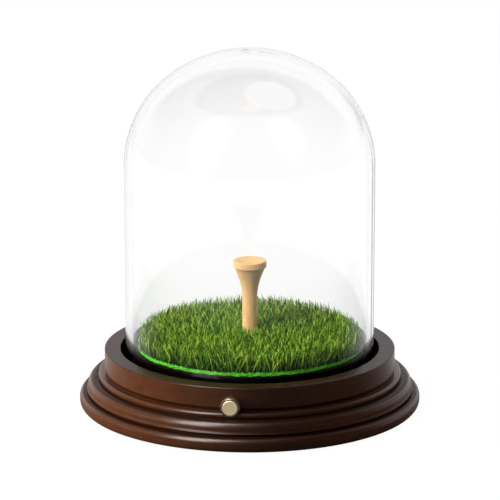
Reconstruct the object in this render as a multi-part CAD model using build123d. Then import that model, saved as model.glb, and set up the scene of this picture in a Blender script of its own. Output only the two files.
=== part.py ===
from build123d import *
from math import cos, hypot, pi, radians, sin, sqrt
import os

# Golf ball display case: a glass dome stands in a groove round the top of a turned wooden base.
# Inside it a wooden tee rises from a disc of artificial turf, ready for one ball.
# A metal push button in the front of the base lights a ring of small lamps under the dome's rim,
# fed by a coin cell behind a twist-off cap in the underside.
# Millimetres. +Z is up, the origin is where the base's axis meets the table, and the button faces -Y.
# The radii grow outwards from the island that carries the turf: glass, rim wall, then mouldings.

# ---------------------------------------------------------------- base, from the island outwards
island_radius = 40.2          # the island is the middle of the base, inside the dome's groove
island_rise = 0.75            # the island stands this far above the rim
groove_depth = 10.45          # from the rim's top to the floor of the dome's groove
top_rounding = 0.35           # on the upper edges of the rim and the island

# The mouldings below the rim wall. A reach is how far a point stands out of the rim wall.
roll_height = 4.8             # plain roll along the bottom, with an upright belly
roll_foot_reach = 8.0
roll_belly_reach = 8.9
roll_belly_rise = 1.7         # from the wooden underside up to the belly
roll_belly_height = 1.1
roll_top_reach = 7.0
lower_quirk_reach = 5.5       # narrow sunk line between the roll and the ogee
lower_quirk_height = 0.75
ogee_edge_rise = 0.2          # from the quirk up to the ogee's sharp lower edge
ogee_edge_reach = 6.4
ogee_hollow_height = 1.05
ogee_hollow_depth = 0.1
ogee_waist_reach = 5.95
ogee_round_height = 2.9
ogee_round_depth = 1.2
ogee_top_reach = 2.5
bead_foot_rise = 0.3          # from the ogee up to the small half-round bead
bead_foot_reach = 1.9
bead_height = 1.7
bead_round_depth = 0.75
bead_top_reach = 1.0
undercut_height = 1.5         # below the rim wall's lower edge the wood slants in, down to the bead
undercut_depth = 0.45
rim_wall_height = 6.85

felt_thickness = 0.8
felt_edge_inset = 2.7         # from the edge of the wooden underside to the felt
felt_plate_gap = 0.8          # from the plate's recess to the felt

# ---------------------------------------------------------------- glass dome and its seat
dome_inner_gap = 1.05         # between the island and the glass
dome_outer_gap = 1.7          # between the glass and the rim wall
dome_wall = 2.5
dome_crown_height = 40.0      # height of the elliptical crown, outside
dome_side_height = 73.9       # height of the straight side, from the seat
dome_rim_rounding = 0.7
seat_side_gap = 0.35          # between the seat ring and each wall of the groove
seat_leg_width = 1.0
seat_top_thickness = 1.0

# ---------------------------------------------------------------- lamp ring
board_thickness = 0.8
lamp_count = 12
lamp_length = 2.8
lamp_width = 1.6
lamp_height = 0.7
lamp_head_gap = 0.2           # between the lamps and the seat ring above them
resistor_count = 4
resistor_length = 1.2
resistor_width = 0.7
resistor_height = 0.4

# ---------------------------------------------------------------- turf and tee
mat_inset = 0.7               # from the island's edge to the turf mat
mat_thickness = 1.3
grass_height = 5.2
grass_inset = 0.6             # from the mat's edge to the outermost grass
grass_edge_rounding = 1.6
tee_height = 29.4             # from the turf mat to the top of the head
tee_seat_depth = 8.0          # how far the stem stands in the island
tee_glue_gap = 0.05
tee_soft_gap = 0.3            # the mat and the grass stay this clear of the stem
tee_head_radius = 5.87
tee_head_rounding = 0.3
tee_rim_depth = 2.45          # height of the straight band round the head
tee_neck_step = 0.47          # the flare meets the band this far inside its edge
tee_stem_radius = 2.6
tee_flare_run = 2.8           # straight part of the flare, below the band
tee_flare_angle = 22.0        # slope of that part from upright, degrees
tee_cup_rim = 0.97            # width of the flat lip round the cup
ball_radius = 21.35           # the cup has the radius of a golf ball

# ---------------------------------------------------------------- push button
button_rise = 2.0             # height of the button's axis above the bead
button_travel = 0.6
button_flat_depth = 0.2       # the flat for the bezel is cut this deep into the rim wall
bore_radius = 2.6             # the button's bore in the wood
bore_gap = 0.05               # between the bore and the barrel or the switch board in it
bezel_barrel_length = 1.0
bezel_barrel_wall = 0.51
bezel_floor = 0.8             # thickness of the floor that the spring pushes on
bezel_step = 0.4              # the cap's bore stops this far outside the flat
bezel_depth = 2.9             # how far the bezel stands out of its flat
bezel_wall = 0.62
bezel_bevel = 0.35
cap_radius = 2.72
cap_thickness = 1.35
cap_stand_out = 0.15          # the cap stands this far out of the bezel
cap_rounding = 0.35
cap_gap = 0.06                # running gap round the cap and its stem
stem_radius = 0.9
stem_neck_radius = 0.7        # groove in the stem for its clip
stem_tip = 0.15               # the stem ends this far behind its clip
clip_radius = 1.5
clip_thickness = 0.25
clip_gap = 0.05               # between the clip and the bezel
clip_room = 0.3               # between the clip and the switch when the button is pressed
spring_wire_radius = 0.14
spring_turns = 4.0
spring_side_gap = 0.15        # between the spring and the wall of its well

# ---------------------------------------------------------------- switch behind the button
switch_bore_floor = 1.15      # wood left between the bore and the dome's groove
switch_board_thickness = 0.6
switch_body_depth = 1.5
switch_corner_gap = 0.48      # between the corners of the switch's body and the bore
plunger_radius = 0.75
plunger_gap = 0.05
plunger_well_depth = 1.15

# ---------------------------------------------------------------- underside: plate, cell and cap
plate_radius = 33.4
plate_gap = 0.2               # round the plate in its recess
plate_thickness = 1.6
plate_sunk = 0.1              # the plate lies this far inside the wooden underside
pocket_headroom = 0.9         # above the cell's cup
pocket_wall = 1.05           # wood left between the pocket and the screws' pilot holes
screw_count = 3
screw_edge_margin = 2.4       # from the plate's edge to the middle of a screw
screw_shank_radius = 0.95
screw_head_radius = 1.75
screw_head_depth = 0.95
screw_length = 6.0
screw_cross_width = 0.5
screw_cross_depth = 0.35
screw_gap = 0.05
screw_sunk = 0.1
cell_radius = 12.25           # a 2450 coin cell
cell_thickness = 5.0
cell_edge = 0.4
cell_gap = 0.35               # round the cell in its cup
cell_cap_gap = 0.3            # between the cell and its cap
cup_wall = 1.4
cup_roof = 1.2
contact_thickness = 0.3
contact_width = 3.0
contact_dimple = 0.2          # the dimple that presses on the cell is this high
contact_side_gap = 0.09       # between the cell's can and the contact beside it
contact_slot_gap = 0.1
contact_reach = 2.8           # each solder tab stands this far out of the cup
contact_spread = 30.0         # angle between the two solder tabs, degrees
cap_disc_margin = 0.45        # the battery cap is this much wider than the cell
cap_disc_gap = 0.2            # round the battery cap in the plate
cap_turn_angle = 60.0         # from locked to free, degrees
lug_reach = 1.5
lug_thickness = 0.8
lug_angle = 30.0
lug_gap = 0.1                 # above and below the lugs
lug_end_gap = 0.3             # between the lugs' ends and the race that they turn in
notch_extra_angle = 6.0       # the notches are this much wider than the lugs
stop_angle = 6.0
stop_gap_angle = 1.0
race_wall = 1.2
race_roof = 1.2
coin_slot_length = 15.0
coin_slot_width = 1.9
coin_slot_depth = 1.1
cut_over = 1.0                # how far a cut or a joined piece runs past the wall that it meets

# ---------------------------------------------------------------- wires
wire_radius = 0.45
wire_half_pitch = 0.55        # two wires side by side lie this far from the middle
wire_hole_gap = 0.2           # round the wires in the holes that they climb
wire_tab_run = 3.2            # straight run out of a solder tab
wire_tab_radius = 3.0         # bend after it
wire_mouth_inset = 2.2        # the bend into the channel lies this far inside the pocket
wire_mouth_radius = 4.5
wire_rise_radius = 2.6        # bend from the channel up to the switch
wire_lamp_rise_radius = 1.8   # bend from the channel up to the lamp ring
wire_hop_radius = 2.0         # bends of the short lead between the two holes
lamp_pad_half_pitch = 0.6     # the two solder pads lie this far from the middle of the board
channel_depth = 4.0
channel_headroom = 1.2        # from the channel's roof down to the middle of the wires
channel_side_gap = 0.4        # between the wires and the channel's walls
channel_end_gap = 0.3         # the channel ends this far past the hole up to the switch

# ---------------------------------------------------------------- radii that follow
UP = (Align.CENTER, Align.CENTER, Align.MIN)
mat_radius = island_radius - mat_inset
dome_inner_radius = island_radius + dome_inner_gap
dome_outer_radius = dome_inner_radius + dome_wall
rim_inner_radius = dome_outer_radius + dome_outer_gap
seat_inner_radius = island_radius + seat_side_gap
seat_outer_radius = rim_inner_radius - seat_side_gap
lamp_radius = (seat_inner_radius + seat_outer_radius) / 2

# The rim wall is as thick as the switch and the button's works need, one behind the other.
bore_end = rim_inner_radius + switch_bore_floor
switch_body_back = bore_end + switch_board_thickness
switch_body_front = switch_body_back + switch_body_depth
clip_back = switch_body_front + clip_room + button_travel
clip_front = clip_back + clip_thickness
bezel_back = clip_front + clip_gap
button_flat = bezel_back + bezel_barrel_length
rim_outer_radius = button_flat + button_flat_depth
stem_end = clip_back - stem_tip
plunger_back = switch_body_front - plunger_well_depth + button_travel + plunger_gap
bezel_floor_face = bezel_back + bezel_floor
bezel_step_face = button_flat + bezel_step
bezel_front = button_flat + bezel_depth
cap_front = bezel_front + cap_stand_out
cap_back = cap_front - cap_thickness

barrel_radius = bore_radius - bore_gap
spring_well_radius = barrel_radius - bezel_barrel_wall
spring_mean_radius = spring_well_radius - spring_side_gap - spring_wire_radius
switch_side = (bore_radius - switch_corner_gap) * sqrt(2)
bezel_bore_radius = cap_radius + cap_gap
bezel_radius = bezel_bore_radius + bezel_wall

foot_radius = rim_outer_radius + roll_foot_reach
recess_radius = plate_radius + plate_gap
screw_ring_radius = plate_radius - screw_edge_margin
pilot_radius = screw_shank_radius + screw_gap
pocket_radius = screw_ring_radius - pilot_radius - pocket_wall
cup_inner_radius = cell_radius + cell_gap
cup_outer_radius = cup_inner_radius + cup_wall
cap_disc_radius = cell_radius + cap_disc_margin
opening_radius = cap_disc_radius + cap_disc_gap
lug_radius = cap_disc_radius + lug_reach
race_radius = lug_radius + lug_end_gap
race_outer_radius = race_radius + race_wall
tab_radius = cup_outer_radius + contact_reach
wire_hole_radius = wire_half_pitch + wire_radius + wire_hole_gap
switch_hole_radius = bore_end + wire_hole_radius
lamp_hole_radius = hypot(wire_half_pitch, lamp_pad_half_pitch) + wire_radius + wire_hole_gap
channel_half_width = wire_half_pitch + wire_radius + channel_side_gap
channel_end = switch_hole_radius + wire_hole_radius + channel_end_gap

# ---------------------------------------------------------------- heights that follow
underside = felt_thickness
roll_top = underside + roll_height
lower_quirk_top = roll_top + lower_quirk_height
ogee_edge = lower_quirk_top + ogee_edge_rise
ogee_waist = ogee_edge + ogee_hollow_height
ogee_top = ogee_waist + ogee_round_height
bead_foot = ogee_top + bead_foot_rise
bead_top = bead_foot + bead_height
rim_edge = bead_top + undercut_height
rim_top = rim_edge + rim_wall_height
island_top = rim_top + island_rise
groove_floor = rim_top - groove_depth
mat_top = island_top + mat_thickness
grass_top = mat_top + grass_height
tee_top = mat_top + tee_height
tee_foot = island_top - tee_seat_depth
board_top = groove_floor + board_thickness
lamp_top = board_top + lamp_height
seat_channel_top = lamp_top + lamp_head_gap
seat_top = seat_channel_top + seat_top_thickness
dome_spring_line = seat_top + dome_side_height
dome_top = dome_spring_line + dome_crown_height
button_z = bead_top + button_rise

plate_bottom = underside + plate_sunk
plate_top = plate_bottom + plate_thickness
lug_bottom = plate_top + lug_gap
lug_top = lug_bottom + lug_thickness
race_top = lug_top + lug_gap
race_roof_top = race_top + race_roof
cell_bottom = lug_top + cell_cap_gap
cell_top = cell_bottom + cell_thickness
contact_bottom = cell_top + contact_dimple
roof_bottom = contact_bottom + contact_thickness
roof_top = roof_bottom + cup_roof
pocket_top = roof_top + pocket_headroom
screw_head_z = plate_bottom + screw_sunk
wire_height = underside + channel_depth - channel_headroom

# ---------------------------------------------------------------- angles about the axis
front_angle = -90.0
positive_angle = front_angle - contact_spread / 2
negative_angle = front_angle + contact_spread / 2
screw_angles = [90 + i * 360 / screw_count for i in range(screw_count)]
lamp_pitch = 360 / lamp_count
lamp_angles = [(i + 0.5) * lamp_pitch for i in range(lamp_count)]
resistor_angles = [i * lamp_count // resistor_count * lamp_pitch for i in range(resistor_count)]


# ---------------------------------------------------------------- helpers
def disc(radius, bottom, top):
    """An upright cylinder on the case's axis."""
    return Pos(0, 0, bottom) * Cylinder(radius, top - bottom, align=UP)


def ring(outer, inner, bottom, top):
    """An upright tube on the case's axis."""
    return disc(outer, bottom, top) - disc(inner, bottom, top)


def post(x, y, radius, bottom, top):
    """An upright cylinder on an axis of its own."""
    return Pos(x, y, bottom) * Cylinder(radius, top - bottom, align=UP)


def sector(outer, inner, bottom, top, middle, width):
    """A piece of an upright tube, width degrees wide, about the angle middle."""
    wedge = Cylinder(outer, top - bottom, arc_size=width, align=(Align.NONE, Align.NONE, Align.MIN))
    return Pos(0, 0, bottom) * Rot(0, 0, middle - width / 2) * wedge - disc(inner, bottom, top)


def block(x0, x1, y0, y1, z0, z1):
    """A box between two corners."""
    return Pos(x0, y0, z0) * Box(x1 - x0, y1 - y0, z1 - z0, align=(Align.MIN, Align.MIN, Align.MIN))


def pin(radius, inner, outer):
    """A cylinder on the button's axis, between two distances from the case's axis."""
    return Pos(0, -outer, button_z) * Rot(-90, 0, 0) * Cylinder(radius, outer - inner, align=UP)


def at_angle(angle, shape):
    """Turns a shape that was drawn towards +X to an angle about the case's axis."""
    return Rot(0, 0, angle) * shape


def turned(section):
    """A solid turned about the case's axis from a face in (radius, height)."""
    return revolve(Plane.XZ * section, Axis.Z)


def round_corners(section, places, radius):
    """Rounds the corners of a section that lie at the given (radius, height) places."""
    corners = [section.vertices().sort_by_distance(place)[0] for place in places]
    return fillet(corners, radius)


# ---------------------------------------------------------------- turned base
def reach(distance, height):
    """A point of the mouldings: how far it stands out of the rim wall, and its height."""
    return (rim_outer_radius + distance, height)


def moulding_outline():
    """The outside of the base, from the wooden underside up to the rim wall."""
    roll_foot = reach(roll_foot_reach, underside)
    belly_foot = reach(roll_belly_reach, underside + roll_belly_rise)
    belly_end = reach(roll_belly_reach, underside + roll_belly_rise + roll_belly_height)
    roll_end = reach(roll_top_reach, roll_top)
    ogee_start = reach(ogee_edge_reach, ogee_edge)
    ogee_middle = reach(ogee_waist_reach, ogee_waist)
    ogee_end = reach(ogee_top_reach, ogee_top)
    bead_start = reach(bead_foot_reach, bead_foot)
    bead_end = reach(bead_top_reach, bead_top)
    outline = TangentArc(belly_foot, roll_foot, tangent=(0, -1))
    outline += Line(belly_foot, belly_end)
    outline += TangentArc(belly_end, roll_end, tangent=(0, 1))
    outline += Polyline(
        roll_end, reach(lower_quirk_reach, roll_top), reach(lower_quirk_reach, lower_quirk_top), ogee_start
    )
    outline += SagittaArc(ogee_start, ogee_middle, ogee_hollow_depth)
    outline += SagittaArc(ogee_middle, ogee_end, -ogee_round_depth)
    outline += Polyline(ogee_end, reach(bead_foot_reach, ogee_top), bead_start)
    outline += SagittaArc(bead_start, bead_end, -bead_round_depth)
    return outline + Polyline(bead_end, reach(-undercut_depth, bead_top), reach(0, rim_edge))


def make_base():
    rim_corners = [(rim_outer_radius, rim_top), (rim_inner_radius, rim_top)]
    island_corner = (island_radius, island_top)
    outline = moulding_outline() + Polyline(
        (rim_outer_radius, rim_edge),
        *rim_corners,
        (rim_inner_radius, groove_floor),
        (island_radius, groove_floor),
        island_corner,
        (0, island_top),
        (0, underside),
        (foot_radius, underside),
    )
    section = round_corners(make_face(outline), [*rim_corners, island_corner], top_rounding)
    base = turned(section)
    base -= disc(recess_radius, underside, plate_top)
    base -= disc(pocket_radius, underside, pocket_top)
    base -= disc(tee_stem_radius + tee_glue_gap, tee_foot, island_top)
    pilot_top = screw_head_z + screw_length + screw_gap
    for angle in screw_angles:
        base -= at_angle(angle, post(screw_ring_radius, 0, pilot_radius, plate_top, pilot_top))
    return base - button_cuts() - wire_cuts()


def button_cuts():
    """The flat that the bezel lies on, and the bore behind it."""
    return pin(bezel_radius + bore_gap, button_flat, foot_radius) + pin(bore_radius, bore_end, button_flat)


def wire_cuts():
    """The channel along the underside, and the holes up to the switch and the lamp ring."""
    half = channel_half_width
    channel = block(-half, half, -channel_end, cut_over - pocket_radius, underside, underside + channel_depth)
    to_switch = post(0, -switch_hole_radius, wire_hole_radius, underside, button_z)
    to_lamps = post(0, -lamp_radius, lamp_hole_radius, underside, groove_floor)
    return channel + to_switch + to_lamps


def make_felt():
    return ring(foot_radius - felt_edge_inset, recess_radius + felt_plate_gap, 0, felt_thickness)


# ---------------------------------------------------------------- turf and tee
def make_mat():
    return ring(mat_radius, tee_stem_radius + tee_soft_gap, island_top, mat_top)


def make_grass():
    pad = disc(mat_radius - grass_inset, mat_top, grass_top)
    pad = fillet(pad.edges().group_by(Axis.Z)[-1], grass_edge_rounding)
    return pad - disc(tee_stem_radius + tee_soft_gap, mat_top, grass_top)


def make_tee():
    slope = radians(tee_flare_angle)
    neck_z = tee_top - tee_rim_depth
    neck_radius = tee_head_radius - tee_neck_step
    arc_end = (neck_radius - tee_flare_run * sin(slope), neck_z - tee_flare_run * cos(slope))
    arc_radius = (arc_end[0] - tee_stem_radius) / (1 - cos(slope))
    arc_start = (tee_stem_radius, arc_end[1] - arc_radius * sin(slope))
    cup_radius = tee_head_radius - tee_cup_rim
    cup_depth = ball_radius - sqrt(ball_radius**2 - cup_radius**2)
    head_corners = [(tee_head_radius, neck_z), (tee_head_radius, tee_top)]
    outline = Polyline((0, tee_top - cup_depth), (0, tee_foot), (tee_stem_radius, tee_foot), arc_start)
    outline += TangentArc(arc_start, arc_end, tangent=(0, 1))
    outline += Polyline(arc_end, (neck_radius, neck_z), *head_corners, (cup_radius, tee_top))
    outline += TangentArc((0, tee_top - cup_depth), (cup_radius, tee_top), tangent=(1, 0))
    return turned(round_corners(make_face(outline), head_corners, tee_head_rounding))


# ---------------------------------------------------------------- glass dome, seat and lamps
def crown(radius, height):
    """A quarter ellipse from the top of the dome's straight side to the axis."""
    side = (radius, dome_spring_line)
    corner = (radius, dome_spring_line + height)
    middle = (0, dome_spring_line + height)
    return Bezier(side, corner, middle, weights=[1, sqrt(0.5), 1])


def make_dome():
    rim_corners = [(dome_outer_radius, seat_top), (dome_inner_radius, seat_top)]
    outline = Line((dome_outer_radius, seat_top), (dome_outer_radius, dome_spring_line))
    outline += crown(dome_outer_radius, dome_crown_height)
    outline += Line((0, dome_top), (0, dome_top - dome_wall))
    outline += crown(dome_inner_radius, dome_crown_height - dome_wall)
    outline += Line((dome_inner_radius, dome_spring_line), (dome_inner_radius, seat_top))
    outline += Line((dome_inner_radius, seat_top), (dome_outer_radius, seat_top))
    return turned(round_corners(make_face(outline), rim_corners, dome_rim_rounding))


def make_seat():
    """An upturned channel that covers the lamps, with the dome's rim on its top."""
    outer = seat_outer_radius - seat_leg_width
    inner = seat_inner_radius + seat_leg_width
    seat = ring(seat_outer_radius, seat_inner_radius, board_top, seat_top)
    return seat - ring(outer, inner, board_top, seat_channel_top)


def make_lamp_board():
    return ring(seat_outer_radius, seat_inner_radius, groove_floor, board_top)


def on_board(angles, length, width, height):
    """Equal small parts on the lamp ring's board, with their length along the ring."""
    chip = Pos(lamp_radius, 0, board_top) * Box(width, length, height, align=UP)
    return [at_angle(angle, chip) for angle in angles]


# ---------------------------------------------------------------- push button and switch
def make_bezel():
    bezel = pin(bezel_radius, button_flat, bezel_front)
    front_edge = bezel.edges().filter_by(GeomType.CIRCLE).sort_by(Axis.Y)[0]
    bezel = chamfer(front_edge, min(bezel_bevel, 0.9 * bezel_wall))
    bezel += pin(barrel_radius, bezel_back, button_flat)
    bezel -= pin(bezel_bore_radius, bezel_step_face, bezel_front)
    bezel -= pin(spring_well_radius, bezel_floor_face, bezel_step_face)
    return bezel - pin(stem_radius + cap_gap, bezel_back, bezel_floor_face)


def make_clip():
    return pin(clip_radius, clip_back, clip_front) - pin(stem_neck_radius, clip_back, clip_front)


def make_cap():
    head = pin(cap_radius, cap_back, cap_front)
    front_edge = head.edges().filter_by(GeomType.CIRCLE).sort_by(Axis.Y)[0]
    head = fillet(front_edge, cap_rounding)
    stem = pin(stem_radius, clip_front, cap_back)
    neck = pin(stem_neck_radius, clip_back, clip_front)
    tip = pin(stem_radius, stem_end, clip_back)
    return head + stem + neck + tip


def make_spring():
    start = bezel_floor_face + spring_wire_radius
    height = cap_back - spring_wire_radius - start
    coil = Helix(height / spring_turns, height, spring_mean_radius)
    section = Plane(origin=coil @ 0, z_dir=coil % 0) * Circle(spring_wire_radius)
    spring = sweep(section, path=coil, is_frenet=True)
    return Pos(0, -start, button_z) * Rot(90, 0, 0) * spring


def make_plunger():
    return pin(plunger_radius, plunger_back, stem_end)


def make_switch_body():
    half = switch_side / 2
    body = block(-half, half, -switch_body_front, -switch_body_back, button_z - half, button_z + half)
    return body - pin(plunger_radius + plunger_gap, switch_body_front - plunger_well_depth, switch_body_front)


def make_switch_board():
    return pin(barrel_radius, bore_end, switch_body_back)


# ---------------------------------------------------------------- underside
def bayonet_cuts():
    """The opening for the battery cap, with a notch for each of its lugs."""
    cuts = disc(opening_radius, plate_bottom, plate_top)
    for turn in (0, 180):
        cuts += sector(
            race_radius, opening_radius - cut_over, plate_bottom, plate_top,
            turn - cap_turn_angle, lug_angle + notch_extra_angle,
        )
    return cuts


def bayonet_stops():
    """Pairs of stops in the race, one pair for each lug: one at locked, one past the notch."""
    clear = (lug_angle + stop_angle) / 2 + stop_gap_angle
    past_notch = cap_turn_angle + clear + notch_extra_angle / 2
    return [
        sector(race_radius + cut_over, opening_radius, plate_top, race_top, middle, stop_angle)
        for turn in (0, 180)
        for middle in (turn + clear, turn - past_notch)
    ]


def screw_seat():
    """A countersunk hole for a plate screw, drawn towards +X."""
    hole = post(screw_ring_radius, 0, pilot_radius, plate_bottom, plate_top)
    sink = post(screw_ring_radius, 0, screw_head_radius + screw_gap, plate_bottom, screw_head_z)
    cone = Cone(screw_head_radius + screw_gap, pilot_radius, screw_head_depth, align=UP)
    return hole + sink + Pos(screw_ring_radius, 0, screw_head_z) * cone


def make_plate():
    plate = disc(plate_radius, plate_bottom, plate_top) - bayonet_cuts()
    plate += ring(race_outer_radius, race_radius, plate_top, race_top)
    plate += bayonet_stops()
    plate += ring(race_outer_radius, cup_inner_radius, race_top, race_roof_top)
    plate += ring(cup_outer_radius, cup_inner_radius, race_roof_top, roof_bottom)
    plate += disc(cup_outer_radius, roof_bottom, roof_top)
    half = contact_width / 2 + contact_slot_gap
    wall = (cup_inner_radius - cut_over, cup_outer_radius + cut_over)
    plate -= at_angle(positive_angle, block(*wall, -half, half, race_roof_top, roof_bottom))
    plate -= at_angle(negative_angle, block(*wall, -half, half, contact_bottom - contact_slot_gap, roof_bottom))
    for angle in screw_angles:
        plate -= at_angle(angle, screw_seat())
    return plate


def make_screws():
    head = Cone(screw_head_radius, screw_shank_radius, screw_head_depth, align=UP)
    shank = Cylinder(screw_shank_radius, screw_length, align=UP)
    slot = Box(2 * screw_shank_radius, screw_cross_width, screw_cross_depth, align=UP)
    screw = Pos(screw_ring_radius, 0, screw_head_z) * (head + shank - slot - Rot(0, 0, 90) * slot)
    return [at_angle(angle, screw) for angle in screw_angles]


def make_battery_cap():
    cap = disc(cap_disc_radius, plate_bottom, lug_top)
    for turn in (0, 180):
        cap += sector(lug_radius, cap_disc_radius - cut_over, lug_bottom, lug_top, turn, lug_angle)
    return cap - Pos(0, 0, plate_bottom) * Box(coin_slot_length, coin_slot_width, coin_slot_depth, align=UP)


def make_cell():
    cell = disc(cell_radius, cell_bottom, cell_top)
    return chamfer(cell.edges().filter_by(GeomType.CIRCLE), cell_edge)


def make_positive_contact():
    """An angled strip: its leg lies beside the cell's can, and its tab goes out through the cup's wall."""
    half = contact_width / 2
    inside = cell_radius + contact_side_gap
    leg_bottom = race_roof_top + contact_slot_gap
    leg = block(inside, inside + contact_thickness, -half, half, leg_bottom, roof_bottom)
    tab = block(inside, tab_radius, -half, half, contact_bottom, roof_bottom)
    return at_angle(positive_angle, leg + tab)


def make_negative_contact():
    """A strip under the cup's roof, with a dimple that presses on the cell."""
    half = contact_width / 2
    strip = block(-half, tab_radius, -half, half, contact_bottom, roof_bottom)
    return at_angle(negative_angle, strip) + disc(half, cell_top, contact_bottom)


# ---------------------------------------------------------------- wires
def wire(name, points, radii):
    """A round insulated wire along straight runs joined by arcs."""
    path = FilletPolyline(*points, radius=radii)
    body = sweep(Plane(origin=path @ 0, z_dir=path % 0) * Circle(wire_radius), path=path)
    expected = pi * wire_radius**2 * path.length
    print(f"{name}: length {path.length:.1f} mm, radii {radii}, volume {body.volume / expected:.4f} of expected")
    return body


def tab_route(angle, side):
    """The first points of a battery wire, from its solder tab to the mouth of the channel."""
    tab_z = (contact_bottom + roof_bottom) / 2
    along = (cos(radians(angle)), sin(radians(angle)))
    turn_radius = tab_radius + wire_tab_run
    return [
        (tab_radius * along[0], tab_radius * along[1], tab_z),
        (turn_radius * along[0], turn_radius * along[1], tab_z),
        (side, wire_mouth_inset - pocket_radius, wire_height),
    ]


def make_battery_to_switch():
    side = -wire_half_pitch
    points = tab_route(positive_angle, side) + [
        (side, -switch_hole_radius, wire_height),
        (side, -switch_hole_radius, button_z - switch_side / 2),
    ]
    return wire("wire_battery_to_switch", points, [wire_tab_radius, wire_mouth_radius, wire_rise_radius])


def make_battery_to_lamps():
    side = wire_half_pitch
    pad_y = lamp_pad_half_pitch - lamp_radius
    points = tab_route(negative_angle, side) + [(side, pad_y, wire_height), (side, pad_y, groove_floor)]
    return wire("wire_battery_to_lamps", points, [wire_tab_radius, wire_mouth_radius, wire_lamp_rise_radius])


def make_switch_to_lamps():
    side = wire_half_pitch
    pad_y = -lamp_pad_half_pitch - lamp_radius
    points = [
        (side, -switch_hole_radius, button_z - switch_side / 2),
        (side, -switch_hole_radius, wire_height),
        (side, pad_y, wire_height),
        (side, pad_y, groove_floor),
    ]
    return wire("wire_switch_to_lamps", points, [wire_hop_radius, wire_hop_radius])


# ---------------------------------------------------------------- write the parts
def write(name, shape):
    """Writes a sub-part. A list is a group of separate solids."""
    pieces = shape if isinstance(shape, list) else [shape]
    solids = [solid for piece in pieces for solid in piece.solids()]
    export_step(Compound(children=solids) if len(solids) > 1 else solids[0], f"parts/{name}.step")


def main():
    os.makedirs("parts", exist_ok=True)
    write("base_moulding", make_base())
    write("felt_pad", make_felt())
    write("turf_mat", make_mat())
    write("turf_grass", make_grass())
    write("tee", make_tee())
    write("glass_dome", make_dome())
    write("dome_seat_ring", make_seat())
    write("lamp_ring_board", make_lamp_board())
    write("lamps", on_board(lamp_angles, lamp_length, lamp_width, lamp_height))
    write("lamp_resistors", on_board(resistor_angles, resistor_length, resistor_width, resistor_height))
    write("button_bezel", make_bezel())
    write("button_cap", make_cap())
    write("button_stem_clip", make_clip())
    write("button_spring", make_spring())
    write("switch_plunger", make_plunger())
    write("switch_body", make_switch_body())
    write("switch_board", make_switch_board())
    write("bottom_plate", make_plate())
    write("plate_screws", make_screws())
    write("battery_cap", make_battery_cap())
    write("coin_cell", make_cell())
    write("contact_positive", make_positive_contact())
    write("contact_negative", make_negative_contact())
    write("wire_battery_to_switch", make_battery_to_switch())
    write("wire_battery_to_lamps", make_battery_to_lamps())
    write("wire_switch_to_lamps", make_switch_to_lamps())


main()
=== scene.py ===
# %% [markdown]
# # A golf ball display case
# A clear glass dome stands in a groove of a turned wooden base. Inside it a wooden tee rises from a
# disc of artificial turf, and a small push button in the front lights a ring of lamps under the glass.
# The rigid pieces come from the CAD model with their true sizes. This lesson gives every one of them
# a finish, and models what is soft or springy: the turf, the felt under the base, and a coil spring.

# %% Load the CAD frame
import math

import bmesh
import bpy
import numpy as np
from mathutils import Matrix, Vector


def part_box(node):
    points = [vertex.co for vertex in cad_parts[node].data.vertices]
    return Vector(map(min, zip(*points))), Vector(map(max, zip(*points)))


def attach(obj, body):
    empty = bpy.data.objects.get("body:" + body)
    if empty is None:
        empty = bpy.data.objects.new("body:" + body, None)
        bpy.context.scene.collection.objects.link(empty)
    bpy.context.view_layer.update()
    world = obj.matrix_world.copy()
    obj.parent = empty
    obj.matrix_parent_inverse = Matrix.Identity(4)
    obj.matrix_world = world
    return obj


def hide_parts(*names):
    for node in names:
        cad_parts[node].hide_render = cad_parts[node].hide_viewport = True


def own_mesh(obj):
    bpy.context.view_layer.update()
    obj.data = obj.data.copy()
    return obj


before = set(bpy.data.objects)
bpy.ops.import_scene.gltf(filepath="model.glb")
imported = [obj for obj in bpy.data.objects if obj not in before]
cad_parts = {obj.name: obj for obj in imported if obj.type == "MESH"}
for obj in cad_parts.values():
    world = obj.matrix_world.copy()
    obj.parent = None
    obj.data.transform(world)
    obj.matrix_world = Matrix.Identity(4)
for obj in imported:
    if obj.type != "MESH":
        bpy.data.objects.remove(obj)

bpy.context.scene.view_settings.view_transform = "Standard"
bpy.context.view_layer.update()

# %% [markdown]
# ## The camera
# A long lens far away keeps the round base and the dome from looking stretched, as a product shot does.
# The camera looks a little down, so that the top of the turf and the inside of the rim show.

# %% Camera
CAMERA_DISTANCE = 1.1
CAMERA_RISE = math.radians(14.63)
CAMERA_TURN = math.radians(7.17)
CAMERA_LENS = 226.4
SENSOR_WIDTH = 36
LOOK_AT = Vector((0.0001, 0, 0.05575))


def around(turn, rise, distance):
    """A place at a distance from LOOK_AT: turned towards +X from the front, and raised."""
    flat = distance * math.cos(rise)
    return LOOK_AT + Vector((flat * math.sin(turn), -flat * math.cos(turn), distance * math.sin(rise)))


def aim(place, target):
    """The rotation that points a camera or a lamp at a target."""
    return (Vector(target) - Vector(place)).to_track_quat("-Z", "Y").to_euler()


camera_place = around(CAMERA_TURN, CAMERA_RISE, CAMERA_DISTANCE)
bpy.ops.object.camera_add(location=camera_place, rotation=aim(camera_place, LOOK_AT))
camera = bpy.context.object
camera.name = "camera"
camera.data.lens = CAMERA_LENS
camera.data.sensor_width = SENSOR_WIDTH
bpy.context.scene.camera = camera
print("camera at", [round(x, 3) for x in camera_place])

# %% [markdown]
# ## Node helpers
# Each finish is a small tree of shader nodes. Two helpers keep the trees readable: one adds a node
# and fills its sockets, with numbers or with links, and one starts a material and sets the plain
# numbers of its Principled shader. The others are short names for the nodes that come up most often.

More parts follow.
